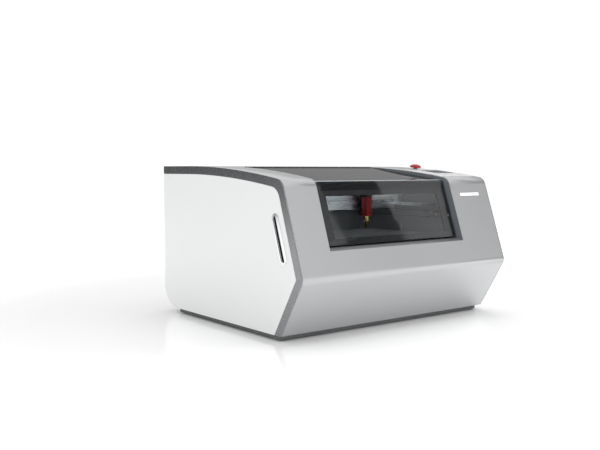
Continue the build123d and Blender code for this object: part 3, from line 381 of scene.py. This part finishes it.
# ---------------------------------------------------------------- lead screws
def add_thread(shape, place, radius, length, pitch=0.002, depth=0.0006, steps=18):
    """Rod with a rounded screw thread, ended by two cones."""
    rows = int(length / pitch * 6)
    rings = []
    for row in range(rows + 1):
        height = length * row / rows
        ring = []
        for step in range(steps):
            turn = step / steps
            wave = 0.5 + 0.5 * math.cos((height / pitch - turn) * math.tau)
            reach = radius - depth * wave
            if row in (0, rows):
                reach = radius * 0.8
            angle = turn * math.tau
            spot = Vector((reach * math.cos(angle), reach * math.sin(angle), height))
            ring.append(shape.verts.new(place @ spot))
        rings.append(ring)
    for one, two in zip(rings, rings[1:]):
        for step in range(steps):
            after = (step + 1) % steps
            shape.faces.new((one[step], one[after], two[after], two[step]))
    shape.faces.new(rings[0][::-1])
    shape.faces.new(rings[-1])


def add_toothed_wheel(shape, place, radius, bottom, top, teeth, depth=0.0007):
    """Belt pulley with square teeth."""
    root = radius - depth
    outline = []
    for tooth in range(teeth):
        for share, reach in ((0.0, radius), (0.45, radius), (0.55, root), (0.9, root)):
            angle = (tooth + share) / teeth * math.tau
            outline.append((reach * math.cos(angle), reach * math.sin(angle)))
    add_plate(shape, outline, bottom, top, place)


SCREW_RADIUS = 5 * MM
SCREW_WHEEL_RADIUS = 14 * MM
SCREW_WHEEL_BOTTOM = 42 * MM  # above the floor
SCREW_WHEEL_TALL = 10 * MM
SCREW_WHEEL_TEETH = 28
SCREW_FLANGE = 1.5 * MM

for side in ("left", "right"):
    node = f"lead_screw_{side}"
    low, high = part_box(node)
    axis = Matrix.Translation((middle(node).x, middle(node).y, low.z))
    shape = bmesh.new()
    add_thread(shape, axis, SCREW_RADIUS, high.z - low.z)
    wheel = SCREW_WHEEL_BOTTOM - low.z
    wheel_top = wheel + SCREW_WHEEL_TALL
    add_toothed_wheel(shape, axis, SCREW_WHEEL_RADIUS, wheel, wheel_top, SCREW_WHEEL_TEETH)
    add_disc(shape, SCREW_WHEEL_RADIUS, wheel_top - 0.1 * MM, wheel_top + SCREW_FLANGE, axis)
    screw = add_piece(f"thread_{side}", shape, looks["steel"], node, 50)
    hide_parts(node)


# ---------------------------------------------------------------- toothed belts and idlers
def on_loop(distance, length, radius):
    """Point and outward direction on a belt's path round two equal wheels on the local X axis."""
    arc = math.pi * radius
    if distance < length:
        return Vector((distance - length / 2, radius, 0)), Vector((0, 1, 0))
    if distance < length + arc:
        angle = math.pi / 2 - (distance - length) / radius
        out = Vector((math.cos(angle), math.sin(angle), 0))
        return Vector((length / 2, 0, 0)) + out * radius, out
    if distance < 2 * length + arc:
        return Vector((length / 2 - (distance - length - arc), -radius, 0)), Vector((0, -1, 0))
    angle = -math.pi / 2 - (distance - 2 * length - arc) / radius
    out = Vector((math.cos(angle), math.sin(angle), 0))
    return Vector((-length / 2, 0, 0)) + out * radius, out


def add_belt(shape, place, length, radius, width, thickness, pitch=0.003):
    """Flat back with square teeth inside."""
    around = 2 * length + math.tau * radius
    teeth = round(around / pitch)
    root, tip = 0.3 * thickness, 0.0
    sections = []
    for tooth in range(teeth):
        for share, inner in ((0.0, root), (0.4, root), (0.5, tip), (0.9, tip)):
            spot, out = on_loop((tooth + share) / teeth * around, length, radius)
            corners = [spot + out * inner, spot + out * thickness]
            ring = [corners[0], corners[1], corners[1] + UP * width, corners[0] + UP * width]
            sections.append([shape.verts.new(place @ corner) for corner in ring])
    for one, two in zip(sections, sections[1:] + sections[:1]):
        for step in range(4):
            after = (step + 1) % 4
            shape.faces.new((one[step], one[after], two[after], two[step]))


def flanged_wheel(bore, radius, flange, width, gap, slope, rim):
    """(radius, height) points of a belt wheel, whose flanges stand a gap clear of the belt."""
    outer = radius + flange
    edge = gap + slope + rim
    lower = [(bore, -edge), (outer, -edge), (outer, -gap - slope), (radius, -gap)]
    return lower + [(reach, width - height) for reach, height in reversed(lower)]


Y_BELT_WIDTH, Y_BELT_THICKNESS = 6 * MM, 1.5 * MM
FORK_SIDE = 2.5 * MM

belt_low, belt_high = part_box("y_belts")
y_loop = (belt_high.z - belt_low.z) / 2
inside = y_loop - Y_BELT_THICKNESS
y_run = belt_high.y - belt_low.y - 2 * y_loop
shape = bmesh.new()
idlers = bmesh.new()
idler_forks = bmesh.new()
for left in (belt_low.x, belt_high.x - Y_BELT_WIDTH):
    at = middle("y_belts")
    across = Matrix(((0, 0, 1, left), (1, 0, 0, at.y), (0, 1, 0, at.z), (0, 0, 0, 1)))
    add_belt(shape, across, y_run, inside, Y_BELT_WIDTH, Y_BELT_THICKNESS)
    wheel = across @ Matrix.Translation((-y_run / 2, 0, 0))
    outline = flanged_wheel(2 * MM, inside, 1.8 * MM, Y_BELT_WIDTH, 0, 0.2 * MM, 0.8 * MM)
    add_turned(idlers, outline, wheel)
    add_disc(idlers, 2 * MM, -6 * MM, Y_BELT_WIDTH + 6 * MM, wheel, 20)
    # two cheeks, the plate that joins them and the stem that holds it
    for offset in (-4.5 * MM, Y_BELT_WIDTH + 2 * MM):
        add_block(idler_forks, (-16 * MM, -5 * MM, offset), (6 * MM, 5 * MM, offset + FORK_SIDE), wheel)
    add_block(idler_forks, (-19 * MM, -9 * MM, -4.5 * MM), (-16 * MM, 9 * MM, Y_BELT_WIDTH + 4.5 * MM), wheel)
    add_block(idler_forks, (-71 * MM, -4 * MM, 0), (-19 * MM, 4 * MM, Y_BELT_WIDTH), wheel)
y_belt_teeth = add_piece("y_belt_teeth", shape, looks["belt_rubber"], "chassis")
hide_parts("y_belts")
add_piece("y_idlers", idlers, looks["aluminium"], "chassis")
add_piece("y_idler_forks", idler_forks, looks["steel"], "chassis", edge=0.4)

X_BELT_THICKNESS = 1.2 * MM
X_BELT_PITCH = 2 * MM

belt_low, belt_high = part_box("x_belt")
x_loop = (belt_high.y - belt_low.y) / 2
inside, tall = x_loop - X_BELT_THICKNESS, belt_high.z - belt_low.z
x_run = belt_high.x - belt_low.x - 2 * x_loop
flat = Matrix.Translation((middle("x_belt").x, middle("x_belt").y, belt_low.z))
shape = bmesh.new()
add_belt(shape, flat, x_run, inside, tall, X_BELT_THICKNESS, X_BELT_PITCH)
x_belt_teeth = add_piece("x_belt_teeth", shape, looks["belt_rubber"], "gantry")
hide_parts("x_belt")
shape = bmesh.new()
right_end = flat @ Matrix.Translation((x_run / 2, 0, 0))
outline = flanged_wheel(1.5 * MM, inside, 1.5 * MM, tall, 0.2 * MM, 0.4 * MM, 1 * MM)
add_turned(shape, outline, right_end)
add_disc(shape, 1.8 * MM, -3.8 * MM, tall + 3 * MM, right_end, 20)
add_disc(shape, 3.4 * MM, tall + 1.7 * MM, tall + 3.6 * MM, right_end, 6)
add_piece("x_idler", shape, looks["aluminium"], "gantry")


# ---------------------------------------------------------------- console
def panel_frame():
    """Matrix on the face of the control panel, Y up its slope."""
    key = middle("key_start")
    display = middle("display_glass")
    rise = Vector((0, display.y - key.y, display.z - key.z)).normalized()
    normal = Vector((1, 0, 0)).cross(rise)
    return facing(middle("control_panel"), normal)


def rectangle(left, bottom, right, top):
    """Corners of a rectangle, whose sides are given in millimetres."""
    return [(x * MM, y * MM) for x, y in ((left, bottom), (right, bottom), (right, top), (left, top))]


def polar(radius, degrees):
    """Point at a radius in millimetres and an angle."""
    angle = math.radians(degrees)
    return radius * MM * math.cos(angle), radius * MM * math.sin(angle)


def arc_points(radius, start, stop, steps=8):
    """Points along an arc, with its radius in millimetres and its ends in degrees."""
    return [polar(radius, start + (stop - start) * step / steps) for step in range(steps + 1)]


# arrow pad beside the display
PANEL_TOP = 2.0 * MM
SUNK = 0.2 * MM
panel_face = panel_frame()
pad = panel_face @ Matrix.Translation((-52 * MM, -12 * MM, 0))
arrow = [(-4.5 * MM, 9 * MM), (4.5 * MM, 9 * MM), (0, 14.5 * MM)]
shape = bmesh.new()
for turn in range(4):
    spin = pad @ Matrix.Rotation(turn * math.pi / 2, 4, "Z")
    add_plate(shape, arrow, PANEL_TOP - SUNK, PANEL_TOP + 0.7 * MM, spin)
add_disc(shape, 5 * MM, PANEL_TOP - SUNK, PANEL_TOP + 0.8 * MM, pad)
add_piece("membrane_keys", shape, looks["key_grey"], "chassis", edge=0.25)

# faint layout on the display: a heading, four soft keys, the work area and four rows of values
display = panel_face @ Matrix.Translation((16 * MM, 16 * MM, 2.6 * MM))
MARK_TALL = 0.08 * MM
marks = [rectangle(-36, 18, 36, 19.5)]
marks += [rectangle(left, -24, left + 15, -18) for left in (-36, -17, 2, 21)]
marks += [rectangle(-30, -12, 6, -11.2), rectangle(-30, 12.2, 6, 13)]
marks += [rectangle(-30, -12, -29.2, 13), rectangle(5.2, -12, 6, 13)]
marks += [rectangle(14, bottom, end, bottom + 1.6) for bottom, end in ((9, 30), (3, 27), (-3, 30), (-9, 27))]
shape = bmesh.new()
for mark in marks:
    add_plate(shape, mark, 0, MARK_TALL, display)
add_piece("screen_marks", shape, screen_blue, "chassis")

# curved release arrows on the emergency stop
stop_axis = next(joint for joint in frame["joints"] if joint["name"] == "estop_twist")["axis"]
stop_face = facing(middle("estop_head"), stop_axis)
CAP_TOP = 5.9 * MM
curve = arc_points(9.2, 10, 80) + arc_points(7.2, 80, 10)
tip = [polar(6, 80), polar(10.4, 80), polar(8.2, 104)]
shape = bmesh.new()
for turn in range(3):
    spin = stop_face @ Matrix.Rotation(turn * math.tau / 3, 4, "Z")
    for outline in (curve, tip):
        add_plate(shape, outline, CAP_TOP - 3.2 * MM, CAP_TOP - 0.15 * MM, spin)
add_piece("release_arrows", shape, legend_white, "estop_head")

# slim metal strip along the fold of the lid, over the edge of the front glass
STRIP_INSET = 8 * MM
glass_low, glass_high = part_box("lid_front_glass")
shape = bmesh.new()
add_block(shape, (glass_low.x + STRIP_INSET, glass_high.y - 2.2 * MM, glass_high.z - 1.6 * MM),
          (glass_high.x - STRIP_INSET, glass_high.y - 0.2 * MM, glass_high.z + 0.5 * MM))
add_piece("fold_strip", shape, looks["aluminium"], "lid", edge=0.4)

# ---------------------------------------------------------------- inside the chamber
WALL = 2 * MM
LAMP_FRONT, LAMP_REAR = -250 * MM, 60 * MM
LAMP_BOTTOM, LAMP_TOP = 425 * MM, 437 * MM
LAMP_LIP = 2 * MM

walls_low, walls_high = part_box("chamber_walls")
shape = bmesh.new()
diffusers = bmesh.new()
for wall, inwards in ((walls_low.x + WALL, 1), (walls_high.x - WALL, -1)):
    near, far = sorted((wall, wall + inwards * 5 * MM))
    add_block(shape, (near, LAMP_FRONT, LAMP_BOTTOM), (far, LAMP_REAR, LAMP_TOP))
    near, far = sorted((wall + inwards * 4.5 * MM, wall + inwards * 6.5 * MM))
    add_block(diffusers, (near, LAMP_FRONT + LAMP_LIP, LAMP_BOTTOM + LAMP_LIP),
              (far, LAMP_REAR - LAMP_LIP, LAMP_TOP - LAMP_LIP))
add_piece("lamp_channels", shape, looks["aluminium"], "chassis", edge=0.4)
add_piece("lamp_diffusers", diffusers, strip_light, "chassis", edge=0.6)

# steering mirror on the left gantry end, with its sprung plate and thumbscrews
ends_low, ends_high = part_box("gantry_ends")
nozzle = middle("lens_tube")
mirror_at = Vector((ends_low.x + 16 * MM, nozzle.y, 400 * MM))
mirror_face = facing(mirror_at, (1, 1, 0), UP)
shape = bmesh.new()
for bottom in (-16 * MM, -9 * MM):
    add_plate(shape, rectangle(-14, -12, 14, 12), bottom, bottom + 3 * MM, mirror_face)
add_block(shape, (ends_low.x + 6 * MM, mirror_at.y - 4 * MM, 377 * MM),
          (ends_low.x + 22 * MM, ends_low.y + 1 * MM, 388 * MM))
add_piece("mirror_mount", shape, looks["black_anodised"], "gantry", edge=0.5)
shape = bmesh.new()
add_disc(shape, 10 * MM, -7 * MM, -2 * MM, mirror_face, 40)
add_piece("steering_mirror", shape, mirror_gold, "gantry")
shape = bmesh.new()
for x, y in ((-10, -8), (10, -8), (10, 8)):
    spot = mirror_face @ Matrix.Translation((x * MM, y * MM, 0))
    add_disc(shape, 1.5 * MM, -20 * MM, -8 * MM, spot, 16)
    add_toothed_wheel(shape, spot, 3.6 * MM, -24 * MM, -19 * MM, 18, 0.4 * MM)
add_piece("mirror_screws", shape, looks["brass"], "gantry")


# cap screws along the gantry's ends and rails, each with a sunk socket
def add_cap_screw(shape, place, radius=2.75 * MM, tall=3.0 * MM):
    """Socket-head screw standing on the local XY plane."""
    tiny = 0.000001
    edge = 0.3 * MM
    socket, socket_floor = radius * 0.5, tall - 1.6 * MM
    outline = [
        (tiny, 0), (radius, 0), (radius, tall - edge), (radius - edge, tall),
        (socket, tall), (socket, socket_floor), (tiny, socket_floor),
    ]
    add_turned(shape, outline, place, 24, closed=False)


RAIL_SCREW_PITCH = 50 * MM
shape = bmesh.new()
for x in (ends_low.x + 8 * MM, ends_low.x + 20 * MM, ends_high.x - 8 * MM, ends_high.x - 20 * MM):
    for y in (ends_low.y + 10 * MM, ends_high.y - 10 * MM):
        add_cap_screw(shape, Matrix.Translation((x, y, ends_high.z)))
rail_low, rail_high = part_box("x_rail")
along = rail_low.x + 14 * MM
while along < rail_high.x:
    front = facing((along, rail_low.y, middle("x_rail").z), (0, -1, 0))
    add_cap_screw(shape, front, 2.2 * MM, 0.35 * MM)
    along += RAIL_SCREW_PITCH
add_piece("gantry_screws", shape, looks["black_anodised"], "gantry")

Y_RAIL_HALF = 6 * MM
Y_RAIL_SCREW_PITCH = 40 * MM
shape = bmesh.new()
low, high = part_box("y_rails")
for x in (low.x + Y_RAIL_HALF, high.x - Y_RAIL_HALF):
    along = low.y + 20 * MM
    while along < high.y:
        seat = Matrix.Translation((x, along, high.z))
        add_disc(shape, 2.4 * MM, -1 * MM, 0.15 * MM, seat, 20, 0.1 * MM)
        along += Y_RAIL_SCREW_PITCH
add_piece("rail_screws", shape, looks["black_anodised"], "chassis")

# air hose barb on the lens tube
BARB_BORE = 1.2 * MM
shape = bmesh.new()
ring_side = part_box("lens_tube")[0].x
spout = facing((ring_side + 1 * MM, nozzle.y, 326 * MM), (-1, 0, 0), (0, 1, 0))
outline = [
    (BARB_BORE, -3 * MM), (2.6 * MM, -3 * MM), (2.6 * MM, 4 * MM),
    (3.2 * MM, 4.6 * MM), (2.2 * MM, 8 * MM), (BARB_BORE, 8 * MM),
]
add_turned(shape, outline, spout, 24)
add_piece("air_barb", shape, looks["brass"], "lens_tube")

# ruler edges along the table
TICK_PITCH = 10 * MM
TICK_HALF = 0.25 * MM
TICK_RISE, TICK_SUNK = 0.06 * MM, 0.1 * MM


def tick_marks(start, stop):
    """Places and lengths of ruler ticks, the fifth ones longer."""
    count = 0
    while start + count * TICK_PITCH < stop:
        yield start + count * TICK_PITCH, 8 * MM if count % 5 == 0 else 4.5 * MM
        count += 1


frame_low, frame_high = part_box("table_frame")
bottom, top = frame_high.z - TICK_SUNK, frame_high.z + TICK_RISE
front_line, side_line = frame_low.y + 3 * MM, frame_low.x + 12 * MM
shape = bmesh.new()
for tick, long in tick_marks(bed_low.x + 5 * MM, bed_high.x - 4 * MM):
    add_block(shape, (tick - TICK_HALF, front_line, bottom), (tick + TICK_HALF, front_line + long, top))
for tick, long in tick_marks(bed_low.y + 5 * MM, bed_high.y - 4 * MM):
    add_block(shape, (side_line, tick - TICK_HALF, bottom), (side_line + long, tick + TICK_HALF, top))
add_piece("table_ticks", shape, looks["black_plastic"], "table")

# ---------------------------------------------------------------- sockets on the back
shape = bmesh.new()
inlet = middle("power_inlet")
inlet_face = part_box("power_inlet")[1].y
for side, height in ((-7, -11.5), (0, -15.5), (7, -11.5)):
    x, z = inlet.x + side * MM, inlet.z + height * MM
    add_block(shape, (x - 1.1 * MM, inlet_face - 16.9 * MM, z - 2.1 * MM),
              (x + 1.1 * MM, inlet_face - 6.9 * MM, z + 2.1 * MM))
add_piece("inlet_blades", shape, looks["brass"], "chassis", edge=0.3)

PORT_XS = (-218 * MM, -184 * MM)
PORT_BACK = 368.2 * MM
TONGUE_BOTTOM, TONGUE_TOP = 168.6 * MM, 171.4 * MM
CONTACT_PITCH = 1.3 * MM
shape = bmesh.new()
contacts = bmesh.new()
for x in PORT_XS:
    add_block(shape, (x - 3 * MM, PORT_BACK, TONGUE_BOTTOM), (x + 3 * MM, PORT_BACK + 7 * MM, TONGUE_TOP))
    for contact in (-1.5, -0.5, 0.5, 1.5):
        spot = x + contact * CONTACT_PITCH
        add_block(contacts, (spot - 0.3 * MM, PORT_BACK + 0.5 * MM, TONGUE_TOP - 0.05 * MM),
                  (spot + 0.3 * MM, PORT_BACK + 6.5 * MM, TONGUE_TOP + 0.1 * MM))
add_piece("port_tongues", shape, legend_white, "chassis", edge=0.2)
add_piece("port_contacts", contacts, looks["brass"], "chassis")

# ---------------------------------------------------------------- stage, light and camera
floor_finish = Finish("floor_white", (0.97, 0.97, 0.97), Roughness=0.16)
from_middle = floor_finish.add("ShaderNodeVectorMath", {0: floor_finish.place}, operation="LENGTH")
gloss_fades = {"From Min": 0.75, "From Max": 1.5, "To Min": 0.75, "To Max": 0.0}
gloss_fades["Value"] = from_middle.outputs["Value"]
polish = floor_finish.add("ShaderNodeMapRange", gloss_fades, interpolation_type="SMOOTHSTEP")
floor_finish.drive("Specular IOR Level", polish.outputs["Result"])
floor_finish.bump(floor_finish.noise(200, 1), 0.000005)


def flat_card(name, corners, material):
    """Plain rectangle of the set, which isn't part of the object."""
    mesh = bpy.data.meshes.new(name)
    mesh.from_pydata(corners, [], [(0, 1, 2, 3)])
    mesh.materials.append(material)
    made = bpy.data.objects.new(name, mesh)
    bpy.context.scene.collection.objects.link(made)


FLOOR_REACH = 30.0
corners = [(-FLOOR_REACH, -FLOOR_REACH, 0), (FLOOR_REACH, -FLOOR_REACH, 0),
           (FLOOR_REACH, FLOOR_REACH, 0), (-FLOOR_REACH, FLOOR_REACH, 0)]
flat_card("floor", corners, floor_finish.material)

CARD_DISTANCE = 6.0


def reflection_card(name, azimuths, low, high, grey):
    """Upright curved card that only shows in reflections. Azimuth 0 is towards +Y and 90 towards +X."""
    steps = 8
    shape = bmesh.new()
    columns = []
    for step in range(steps + 1):
        angle = math.radians(azimuths[0] + (azimuths[1] - azimuths[0]) * step / steps)
        x, y = CARD_DISTANCE * math.sin(angle), CARD_DISTANCE * math.cos(angle)
        columns.append((shape.verts.new((x, y, low)), shape.verts.new((x, y, high))))
    for one, two in zip(columns, columns[1:]):
        shape.faces.new((one[0], two[0], two[1], one[1]))
    mesh = bpy.data.meshes.new(name)
    shape.to_mesh(mesh)
    shape.free()
    light = Finish(name, (0, 0, 0), Roughness=1.0, Specular_IOR_Level=0.0, Emission_Strength=1.0)
    light.shader.inputs["Emission Color"].default_value = (grey, grey, grey, 1)
    mesh.materials.append(light.material)
    card = bpy.data.objects.new(name, mesh)
    bpy.context.scene.collection.objects.link(card)
    card.visible_camera = False
    card.visible_diffuse = False
    card.visible_shadow = False
    card.visible_transmission = False


reflection_card("left_flag", (-130, 0), 0.02, 3.0, 0.075)
reflection_card("rear_flag", (0, 95), 0.02, 2.9, 0.42)
reflection_card("right_flag", (95, 125.5), 0.6, 6.0, 0.3)
reflection_card("glass_light", (125.5, 132.8), 0.6, 6.0, 1.4)
reflection_card("glass_flag", (132.8, 138.5), 0.6, 6.0, 0.02)

# an even white surround, with two soft lamps from above
world = bpy.data.worlds.new("studio")
world.use_nodes = True
bpy.context.scene.world = world
background = world.node_tree.nodes["Background"]
background.inputs["Color"].default_value = (1.0, 1.0, 1.0, 1)
background.inputs["Strength"].default_value = 1.05


def soft_box(name, place, target, size, power):
    """Rectangular lamp that looks at a target."""
    lamp = bpy.data.lights.new(name, "AREA")
    lamp.shape = "RECTANGLE"
    lamp.size, lamp.size_y = size
    lamp.energy = power
    made = bpy.data.objects.new(name, lamp)
    made.location = place
    made.rotation_euler = (Vector(target) - Vector(place)).to_track_quat("-Z", "Y").to_euler()
    made.visible_glossy = False
    bpy.context.scene.collection.objects.link(made)


low, high = cad_box
core = (low + high) / 2
soft_box("top_light", (0.8, 0.2, 4.0), core, (4.0, 3.0), 60)
soft_box("right_light", (3.4, -1.8, 2.6), core, (2.5, 2.0), 55)

CAMERA_TILT = 4.059  # degrees below level
CAMERA_TURN = 38.028  # degrees to the right of straight back
camera_data = bpy.data.cameras.new("photo_camera")
camera_data.lens = 46.997
camera_data.sensor_width = 36
camera = bpy.data.objects.new("photo_camera", camera_data)
camera.location = (-1.7925, -2.1241, 0.5037)
camera.rotation_euler = (math.radians(90 - CAMERA_TILT), 0, math.radians(-CAMERA_TURN))
bpy.context.scene.collection.objects.link(camera)
bpy.context.scene.camera = camera
bpy.context.scene.view_settings.view_transform = "Standard"
